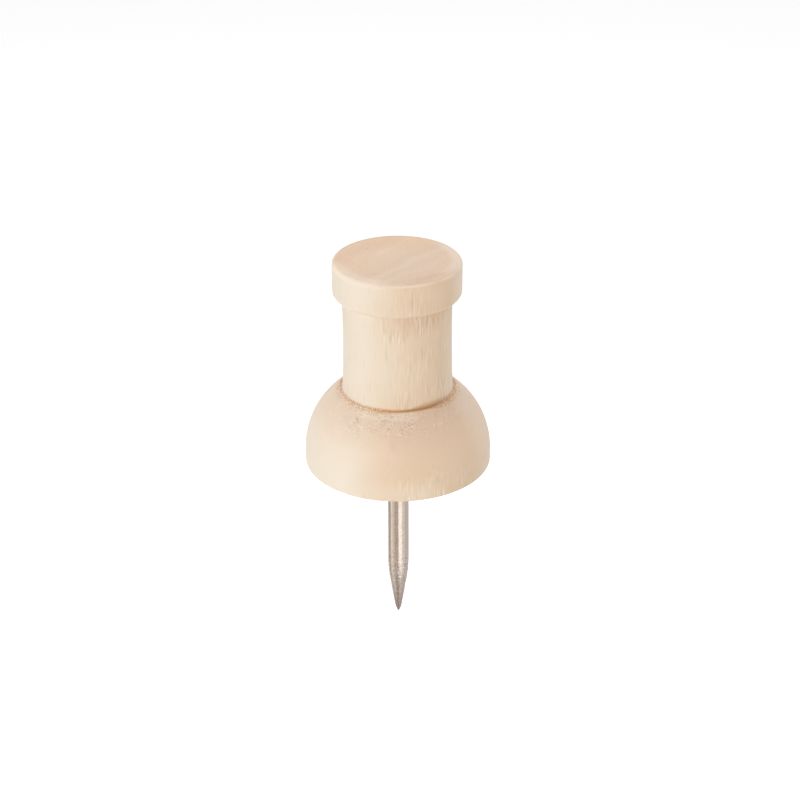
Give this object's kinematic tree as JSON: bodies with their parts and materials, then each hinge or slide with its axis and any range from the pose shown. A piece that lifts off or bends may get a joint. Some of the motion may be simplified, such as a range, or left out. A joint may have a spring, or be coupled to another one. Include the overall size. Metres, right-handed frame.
{
  "type": "push pin",
  "caption": "Push pin with a turned pale wood handle, a flat round head, a slim neck and a domed base, on a ground steel pin.",
  "frame": {"origin": "on the pin's axis, at the flat underside of the handle that meets the board", "axes": "+Z along the pin's axis, from the point up through the head; X and Y are alike, because the object is round"},
  "size_m": [0.0102, 0.0102, 0.022],
  "materials": {
    "wood": "pale close-grained wood, turned and sanded, unfinished",
    "steel": "nickel plated drawn wire with a ground point"
  },
  "bodies": {
    "root": {"turned_handle": "wood", "steel_pin": "steel"}
  },
  "joints": []
}
